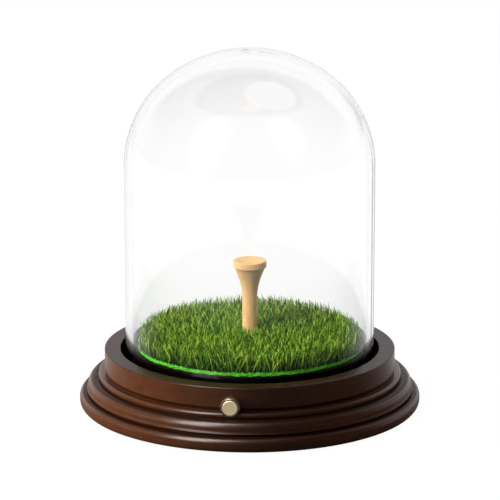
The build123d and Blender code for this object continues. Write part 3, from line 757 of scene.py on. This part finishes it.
def sheet_ring(name, outer, inner, bottom, thickness, steps, rounding, shake):
    """A ring of sheet between two radii, its surface divided into steps, with rounded, shaken edges."""
    bpy.ops.object.select_all(action="DESELECT")
    bpy.ops.mesh.primitive_circle_add(vertices=RING_CORNERS, radius=outer, fill_type="NOTHING",
                                      location=(0, 0, bottom))
    ring = bpy.context.object
    ring.name = name
    apply_place(ring)
    edit(ring)
    radius = outer
    for step in range(steps):
        following = outer + (inner - outer) * (step + 1) / steps
        share = following / radius
        bpy.ops.mesh.extrude_edges_move()
        bpy.ops.transform.resize(value=(share, share, 1), center_override=(0, 0, bottom))
        radius = following
    bpy.ops.mesh.select_all(action="SELECT")
    bpy.ops.mesh.normals_make_consistent(inside=False)
    done()
    if ring.data.polygons[0].normal.z < 0:
        ring.data.flip_normals()
    solid = ring.modifiers.new("thickness", "SOLIDIFY")
    solid.thickness = thickness
    solid.offset = 1
    bpy.ops.object.modifier_apply(modifier="thickness")
    edit(ring)
    corners = (outer, inner)
    select_where(ring, lambda m: min(abs(radius_of(m) - c) for c in corners) < ON_EDGE, "EDGE")
    shape = bmesh.from_edit_mesh(ring.data)
    for edge in shape.edges:
        if edge.select and abs(edge.verts[0].co.z - edge.verts[1].co.z) > ON_LEVEL:
            edge.select_set(False)
    bmesh.update_edit_mesh(ring.data)
    bpy.ops.mesh.bevel(offset=rounding, segments=2)
    select_where(ring, lambda m: min(abs(radius_of(m) - c) for c in corners) < rounding * SHAKEN_SHARE)
    bpy.ops.transform.vertex_random(offset=shake, uniform=1.0, normal=0.0, seed=5)
    done()
    return ring


FELT_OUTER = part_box("felt_pad")[1].x
FELT_INNER = 0.0344
# The shaken edges need this much room inside the size of the felt.
FELT_CLEAR = 0.0002
FELT_BOTTOM = 0.00012
FELT_THICKNESS = 0.00064
felt = sheet_ring("felt_ring", FELT_OUTER - FELT_CLEAR, FELT_INNER + FELT_CLEAR, FELT_BOTTOM, FELT_THICKNESS,
                  steps=5, rounding=0.00018, shake=0.0001)
report(felt)

# %% [markdown]
# ## Felt
# Felt is pressed wool: no threads, only a tangle of short fibres. Fine noise gives the tangle, a soft
# sheen catches light on the loose ends, and a low bump keeps the surface from looking like card.

# %% Felt finish
def make_felt():
    material, tree, shader = start_material("felt", Sheen_Weight=0.5, Sheen_Roughness=0.6,
                                            Specular_IOR_Level=0.1)
    here = place_on(tree)
    tangle = add_node(tree, "ShaderNodeTexNoise", {
        "Vector": here, "Scale": 3500.0, "Detail": 4.0, "Roughness": 0.75, "Distortion": 1.2}).outputs[0]
    cloud = add_node(tree, "ShaderNodeTexNoise", {"Vector": here, "Scale": 120.0, "Detail": 3.0}).outputs[0]
    fibres = mix_colours(tree, spread(tree, tangle, 0.3, 0.7), (0.009, 0.009, 0.01, 1),
                         (0.035, 0.034, 0.034, 1))
    clouded = mix_colours(tree, spread(tree, cloud, 0.4, 0.8, 0.0, 0.4), fibres, (0.05, 0.049, 0.047, 1))
    tree.links.new(clouded, shader.inputs["Base Color"])
    tree.links.new(spread(tree, tangle, 0.3, 0.7, 0.85, 1.0), shader.inputs["Roughness"])
    bump = add_node(tree, "ShaderNodeBump", {"Height": tangle, "Strength": 0.6, "Distance": 0.00012})
    tree.links.new(bump.outputs[0], shader.inputs["Normal"])
    return material


felt.data.materials.append(make_felt())
print("felt_ring is finished in felt")
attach(felt, "base")
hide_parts("felt_pad")

# %% [markdown]
# ## The turf's backing
# Artificial turf is a green mat with fibres stitched into it. The mat is cut in a circle with a hole
# for the tee. Its cut edge shows as a bright ragged line, because the fibres nearest the knife are cut
# short and lean outwards. So the backing is a ring of sheet, with a fringe of short tufts round it.

# %% Backing
mat_low, mat_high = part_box("turf_mat")
MAT_OUTER = mat_high.x
MAT_INNER = 0.0029
MAT_BOTTOM = mat_low.z
MAT_TOP = mat_high.z
# The fringe stands round the backing, and the shaken edges need a little room.
FRINGE_ROOM = 0.0004
BACKING_SLACK = 0.0001
backing = sheet_ring("turf_backing", MAT_OUTER - FRINGE_ROOM, MAT_INNER + BACKING_SLACK, MAT_BOTTOM,
                     MAT_TOP - MAT_BOTTOM - BACKING_SLACK, steps=10, rounding=0.0003, shake=0.00015)
report(backing)

# %% [markdown]
# ## One blade
# A blade of turf is a thin strip, folded lengthwise so that it stands up, widest below the middle and
# pointed at the tip. It starts as a cone with three sides, cut across at three heights; the rings are
# then scaled. Thousands of copies are needed, so it has only thirteen faces.

# %% Blade
BLADE_HEIGHT = 0.005
BLADE_WIDTH = 0.001
BLADE_FLATNESS = 0.45
# Up the blade: how high, as a share of its height, and how wide, as a share of its widest.
BLADE_FOOT = (0.0, 0.75)
BLADE_CUTS = ((0.3, 1.0), (0.62, 0.92), (0.85, 0.6))


def make_blade():
    """A blade that stands on the origin."""
    bpy.ops.object.select_all(action="DESELECT")
    bpy.ops.mesh.primitive_cone_add(vertices=3, radius1=BLADE_WIDTH / 2, depth=BLADE_HEIGHT,
                                    location=(0, 0, BLADE_HEIGHT / 2))
    blade = bpy.context.object
    blade.name = "blade"
    apply_place(blade)
    for height, _ in BLADE_CUTS:
        edit(blade)
        bpy.ops.mesh.bisect(plane_co=(0, 0, height * BLADE_HEIGHT), plane_no=(0, 0, 1))
        done()
    edit(blade)
    for height, width in (BLADE_FOOT, *BLADE_CUTS):
        level = height * BLADE_HEIGHT
        share = width / (1 - height)
        select_where(blade, lambda m: abs(m.z - level) < ON_LEVEL)
        bpy.ops.transform.resize(value=(share, share * BLADE_FLATNESS, 1), center_override=(0, 0, level))
    done()
    tidy_mesh(blade)
    return blade


blade = make_blade()
report(blade)

# %% [markdown]
# ## Planting
# A turf machine stitches tufts in rows, and each tuft's blades fan out and lean their own way. To copy
# that, tufts are set out on a shaken grid, blades are rooted near each tuft's middle, and every blade
# is turned, leaned, bent and stretched a little differently. Objects by the thousand would be slow, so
# the copies are written straight into one mesh. Each vertex also keeps how well it is lit, from the
# shaded root to the free tip, and its blade's own tone, for the material to read.

# %% Planting helper
# The rows of a six-sided grid lie this share of its spacing apart.
ROW_STEP = 0.866


def plant(name, pattern, roots, turns, leans, bends, heights, widths, tones, in_light):
    """Copies a blade to every root. leans is the sideways step of the tip for each blade, as a share of
    its height, and bends how much of that comes at the tip. in_light is 0 for a blade whose root is in
    the dark between others, and up to 1 for one that stands free."""
    points = np.array([v.co for v in pattern.data.vertices])
    faces = [tuple(p.vertices) for p in pattern.data.polygons]
    along = points[:, 2] / BLADE_HEIGHT
    count = len(roots)
    cosine, sine = np.cos(turns)[:, None], np.sin(turns)[:, None]
    local_x = points[None, :, 0] * widths[:, None] / BLADE_WIDTH
    local_y = points[None, :, 1] * widths[:, None] / BLADE_WIDTH
    x = local_x * cosine - local_y * sine
    y = local_x * sine + local_y * cosine
    curve = (1 - bends[:, None]) * along[None, :] + bends[:, None] * along[None, :] ** 2
    reach = np.linalg.norm(leans, axis=1)
    upright = heights / np.sqrt(1 + reach**2)
    x = x + roots[:, 0, None] + leans[:, 0, None] * upright[:, None] * curve
    y = y + roots[:, 1, None] + leans[:, 1, None] * upright[:, None] * curve
    z = roots[:, 2, None] + along[None, :] * upright[:, None]
    places = np.stack([x, y, z], axis=2).reshape(-1, 3)
    mesh = bpy.data.meshes.new(name)
    size = len(points)
    mesh.from_pydata(places.tolist(), [], [[i + k * size for i in f] for k in range(count) for f in faces])
    lit = (along[None, :] + (1 - along[None, :]) * in_light[:, None]).reshape(-1)
    for label, values in (("lit", lit), ("tone", np.repeat(tones, size))):
        mesh.attributes.new(label, "FLOAT", "POINT").data.foreach_set("value", values.astype(np.float32))
    mesh.update()
    piece = bpy.data.objects.new(name, mesh)
    bpy.context.collection.objects.link(piece)
    report(piece)
    return piece


def shaken_grid(chance, spacing, outer, inner, shake):
    """Places on a six-sided grid, each moved a little, between two radii."""
    rows = int(outer / (spacing * ROW_STEP)) + 1
    places = []
    for row in range(-rows, rows + 1):
        for column in range(-rows - 2, rows + 3):
            places.append(((column + 0.5 * (row % 2)) * spacing, row * spacing * ROW_STEP))
    places = np.array(places) + chance.uniform(-shake, shake, (len(places), 2)) * spacing
    far = np.hypot(places[:, 0], places[:, 1])
    return places[(far < outer) & (far > inner)]

# %% [markdown]
# ## The lawn
# Four kinds of blades make the lawn look grown: broad ones stand nearly upright, about as many finer ones
# are paler and lean more, short ones fill the edge, and a few long ones lie across the others. No tip
# passes the backing, and no blade is rooted in the hole that the backing has for the tee's stem.

# %% Lawn
LAWN_SEED = 21
chance = np.random.default_rng(LAWN_SEED)
ROOT_DEPTH = 0.0002
EDGE_INNER = MAT_OUTER - 0.0032
# No blade is rooted nearer to the axis than these two together.
TEE_CLEAR = 0.003
TEE_ROOM = 0.0002
# Blades fan out from their tuft, and those in the outermost band lean out a little. Those near the stem
# don't lean towards it, and a tip that would come within TIP_CLEAR of the mat's edge doesn't lean out.
TUFT_FAN = 0.14
EDGE_BAND = 0.0025
EDGE_LEAN = 0.1
STEM_REACH = 0.0075
STEM_BAND = 0.0045
TIP_CLEAR = 0.0003
# The roots of blades in the outermost band get some light, because they stand free on one side.
LIGHT_BAND = 0.0022
LIGHT_AT_EDGE = 0.55
# How much tufts and blades differ: a tuft's place as a share of the spacing, a blade's lean as a share
# of its kind's, the tones of a tuft and of a blade, shares of a kind's height and width, and the bend.
TUFT_SHAKE = 0.35
BLADE_LEAN = 0.7
TUFT_TONE = 0.16
BLADE_TONE = 0.46
HEIGHTS = (0.78, 1.12)
WIDTHS = (0.75, 1.25)
BENDS = (0.2, 0.95)


def guide_leans(leans, roots, far, outer, height):
    """Changes leans near the stem and the edge, where blades have less room."""
    out = roots / far[:, None]
    edge = np.clip((far - outer + EDGE_BAND) / EDGE_BAND, 0, 1)[:, None]
    leans = leans + out * edge * EDGE_LEAN
    stem = np.clip((STEM_REACH - far) / STEM_BAND, 0, 1)[:, None]
    inwards = np.minimum((leans * roots).sum(1) / far, 0)[:, None]
    leans = leans - out * inwards * stem
    tips = np.hypot(*(roots + leans * height).T)
    outwards = np.maximum((leans * roots).sum(1) / far, 0) * (tips > MAT_OUTER - TIP_CLEAR)
    return leans - out * outwards[:, None]


def lawn_blades(name, spacing, per_tuft, spread_out, height, width, tone, lean, outer, inner=0.0):
    """One kind of blade, in tufts between two radii."""
    tufts = shaken_grid(chance, spacing, outer, inner, TUFT_SHAKE)
    tuft_lean = chance.normal(0, lean, (len(tufts), 2))
    tuft_tone = chance.uniform(-TUFT_TONE, TUFT_TONE, len(tufts))
    tuft = np.repeat(np.arange(len(tufts)), per_tuft)
    offset = chance.normal(0, spread_out, (len(tuft), 2))
    roots = tufts[tuft] + offset
    far = np.hypot(roots[:, 0], roots[:, 1])
    kept = (far < outer) & (far > TEE_CLEAR + TEE_ROOM)
    tuft, offset, roots, far = tuft[kept], offset[kept], roots[kept], far[kept]
    count = len(roots)
    blade_lean = chance.normal(0, lean * BLADE_LEAN, (count, 2))
    leans = tuft_lean[tuft] + offset / spread_out * TUFT_FAN + blade_lean
    leans = guide_leans(leans, roots, far, outer, height)
    heights = height * chance.uniform(*HEIGHTS, count)
    widths = width * chance.uniform(*WIDTHS, count)
    turns = chance.uniform(0, 2 * math.pi, count)
    tones = np.clip(tone + tuft_tone[tuft] + chance.normal(0, BLADE_TONE, count), 0, 1)
    in_light = np.clip((far - outer + LIGHT_BAND) / LIGHT_BAND, 0, 1) * LIGHT_AT_EDGE
    bends = chance.uniform(*BENDS, count)
    roots = np.column_stack([roots, np.full(count, MAT_TOP - ROOT_DEPTH)])
    return plant(name, blade, roots, turns, leans, bends, heights, widths, tones, in_light)


# Each kind: how far its tufts stand apart, the blades in a tuft and how far they are spread, their height
# and width, their tone and lean, and the radius inside which they are rooted.
lawn = [
    lawn_blades("grass_broad", 0.0021, 5, 0.00065, 0.0064, 0.00052, 0.36, 0.32, MAT_OUTER - 0.0004),
    lawn_blades("grass_fine", 0.0021, 6, 0.0009, 0.0070, 0.00034, 0.62, 0.42, MAT_OUTER - 0.0005),
    lawn_blades("grass_edge", 0.0014, 5, 0.0005, 0.0042, 0.00042, 0.45, 0.6, MAT_OUTER - 0.0003, EDGE_INNER),
    lawn_blades("grass_stray", 0.0055, 2, 0.002, 0.0082, 0.00028, 0.95, 0.8, MAT_OUTER - 0.003),
]

# %% [markdown]
# ## Grass
# Each blade is darkest at its root, where little light falls, and palest at its tip. Its tone runs
# from deep green to yellow-green. A little of the light that hits a thin blade comes out on its other
# side, which subsurface scattering would give; on strips this thin a bright base colour is enough.
# Fine streaks along the blade, which also change its satin gloss, keep it from looking like paper.

# %% Grass finish
def make_grass():
    material, tree, shader = start_material("turf_grass", Specular_IOR_Level=0.22, Roughness=0.45)
    tone = add_node(tree, "ShaderNodeAttribute", attribute_name="tone").outputs["Fac"]
    lit = add_node(tree, "ShaderNodeAttribute", attribute_name="lit").outputs["Fac"]
    ramp = add_node(tree, "ShaderNodeValToRGB", {0: tone})
    greens = ramp.color_ramp.elements
    greens[0].color = (0.006, 0.05, 0.001, 1)
    greens[1].color = (0.68, 0.95, 0.1, 1)
    greens.new(0.5).color = (0.068, 0.28, 0.005, 1)
    streak = add_node(tree, "ShaderNodeTexNoise", {
        "Vector": place_on(tree, scale=(1, 1, 0.25)), "Scale": 5000.0, "Detail": 1.0}).outputs[0]
    streaked = mix_colours(tree, spread(tree, streak, 0.3, 0.7, 0.0, 0.25), ramp.outputs["Color"],
                           (0.27, 0.5, 0.025, 1))
    shaded = mix_colours(tree, spread(tree, lit, 0.36, 0.98), (0.002, 0.013, 0.0005, 1), streaked)
    tree.links.new(shaded, shader.inputs["Base Color"])
    tree.links.new(spread(tree, streak, 0.3, 0.7, 0.38, 0.55), shader.inputs["Roughness"])
    return material


grass_finish = make_grass()
for piece in lawn:
    piece.data.materials.append(grass_finish)
    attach(piece, "base")
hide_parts("turf_grass")
print(len(lawn), "kinds of blades are finished in", grass_finish.name)

# %% [markdown]
# ## The fringe
# The short fibres at the cut edge lean out and show as a bright ragged line under the lawn. They are
# the same blade, squat and wide, in a loose band round the edge of the backing.

# %% Fringe
FRINGE_BLADES = 2600
# Each blade is rooted this far inside the mat's edge and this far above its underside, and is this tall
# and this wide. Its lean takes its tip some share of the way to FRINGE_CLEAR inside the edge.
FRINGE_INSIDE = (0.0006, 0.0013)
FRINGE_ABOVE = (0.0, 0.0006)
FRINGE_HEIGHTS = (0.0008, 0.0012)
FRINGE_WIDTHS = (0.0004, 0.0006)
FRINGE_LEANS = (0.4, 1.0)
FRINGE_CLEAR = 0.0001
FRINGE_BENDS = (0, 0.6)
FRINGE_TONES = (0.3, 0.9)
FRINGE_SHAKE = 0.002


def make_fringe():
    count = FRINGE_BLADES
    angles = np.arange(count) * 2 * math.pi / count
    angles = angles + chance.uniform(-FRINGE_SHAKE, FRINGE_SHAKE, count)
    far = MAT_OUTER - chance.uniform(*FRINGE_INSIDE, count)
    low = MAT_BOTTOM + chance.uniform(*FRINGE_ABOVE, count)
    out = np.column_stack([np.cos(angles), np.sin(angles)])
    roots = np.column_stack([out * far[:, None], low])
    heights = chance.uniform(*FRINGE_HEIGHTS, count)
    leans = out * ((MAT_OUTER - FRINGE_CLEAR - far) / heights * chance.uniform(*FRINGE_LEANS, count))[:, None]
    bends = chance.uniform(*FRINGE_BENDS, count)
    widths = chance.uniform(*FRINGE_WIDTHS, count)
    tones = chance.uniform(*FRINGE_TONES, count)
    return plant("turf_fringe", blade, roots, angles + math.pi / 2, leans, bends, heights, widths, tones,
                 np.ones(count))


fringe = make_fringe()

# %% [markdown]
# ## Backing and fringe finishes
# The mat is bright green at its cut edge, where its weave shows, and nearly black on top, in the shade
# of the lawn: the colour goes by height. The fringe takes the tone of each blade, as the lawn does.

# %% Backing and fringe finishes
def make_backing_finish():
    material, tree, shader = start_material("turf_backing", Specular_IOR_Level=0.2, Roughness=0.8)
    here = place_on(tree)
    height = add_node(tree, "ShaderNodeSeparateXYZ", {0: here}).outputs["Z"]
    weave = add_node(tree, "ShaderNodeTexVoronoi", {"Vector": here, "Scale": 1600.0}).outputs["Distance"]
    rim = mix_colours(tree, spread(tree, weave, 0.1, 0.6), (0.2, 0.85, 0.06, 1), (0.07, 0.5, 0.02, 1))
    top = spread(tree, height, MAT_TOP - 0.0003, MAT_TOP - 0.00012)
    colour = mix_colours(tree, top, rim, (0.005, 0.022, 0.003, 1))
    tree.links.new(colour, shader.inputs["Base Color"])
    tree.links.new(spread(tree, weave, 0.1, 0.6, 0.7, 0.95), shader.inputs["Roughness"])
    bump = add_node(tree, "ShaderNodeBump", {"Height": weave, "Strength": 0.5, "Distance": 0.0002})
    tree.links.new(bump.outputs[0], shader.inputs["Normal"])
    return material


def make_fringe_finish():
    material, tree, shader = start_material("turf_fringe", Specular_IOR_Level=0.25, Roughness=0.6)
    tone = add_node(tree, "ShaderNodeAttribute", attribute_name="tone").outputs["Fac"]
    colour = mix_colours(tree, tone, (0.1, 0.62, 0.03, 1), (0.3, 0.95, 0.1, 1))
    tree.links.new(colour, shader.inputs["Base Color"])
    tree.links.new(spread(tree, tone, 0.0, 1.0, 0.5, 0.75), shader.inputs["Roughness"])
    return material


backing.data.materials.append(make_backing_finish())
fringe.data.materials.append(make_fringe_finish())
for piece in (backing, fringe):
    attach(piece, "base")
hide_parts("turf_mat")
bpy.data.objects.remove(blade)
print("the backing and the fringe are finished")

# %% [markdown]
# ## The button's spring
# A coil of steel wire pushes the cap out. The Screw modifier winds a small circle of wire round the
# axis, four turns, as a lathe winds a spring on a rod, and the two cut ends are filled. It is modelled
# at rest; when the button is pressed, the real spring shortens towards its fixed end.

# %% Spring
SPRING_LOW, SPRING_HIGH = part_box("button_spring")
WIRE_RADIUS = 0.00014
WIRE_CORNERS = 12
SPRING_TURNS = 4
STEPS_PER_TURN = 36


def make_spring():
    middle = (SPRING_LOW + SPRING_HIGH) / 2
    coil_radius = (SPRING_HIGH.x - SPRING_LOW.x) / 2 - WIRE_RADIUS
    run = SPRING_HIGH.y - SPRING_LOW.y - 2 * WIRE_RADIUS
    bpy.ops.object.select_all(action="DESELECT")
    bpy.ops.mesh.primitive_circle_add(vertices=WIRE_CORNERS, radius=WIRE_RADIUS,
                                      location=(coil_radius, 0, 0), rotation=(math.radians(90), 0, 0))
    spring = bpy.context.object
    spring.name = "button_coil"
    apply_place(spring)
    winding = spring.modifiers.new("winding", "SCREW")
    winding.axis = "Z"
    winding.angle = 2 * math.pi
    winding.screw_offset = run / SPRING_TURNS
    winding.iterations = SPRING_TURNS
    winding.steps = winding.render_steps = STEPS_PER_TURN
    bpy.ops.object.modifier_apply(modifier="winding")
    edit(spring)
    bpy.ops.mesh.select_mode(type="EDGE")
    bpy.ops.mesh.select_all(action="DESELECT")
    bpy.ops.mesh.select_non_manifold()
    bpy.ops.mesh.fill_holes(sides=0)
    done()
    tidy_mesh(spring)
    spring.rotation_euler = (math.radians(90), 0, 0)
    spring.location = (middle.x, SPRING_HIGH.y - WIRE_RADIUS, middle.z)
    apply_place(spring)
    bpy.ops.object.shade_smooth_by_angle(angle=math.radians(40))
    return spring


spring = make_spring()
report(spring)
spring.data.materials.append(make_metal("spring_wire", (0.5, 0.5, 0.52), 0.25))
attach(spring, "base")
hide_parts("button_spring")
# The button goes in by 0.6 of the spring's 1.9 mm, which leaves 0.684 of its length.
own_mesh(spring)
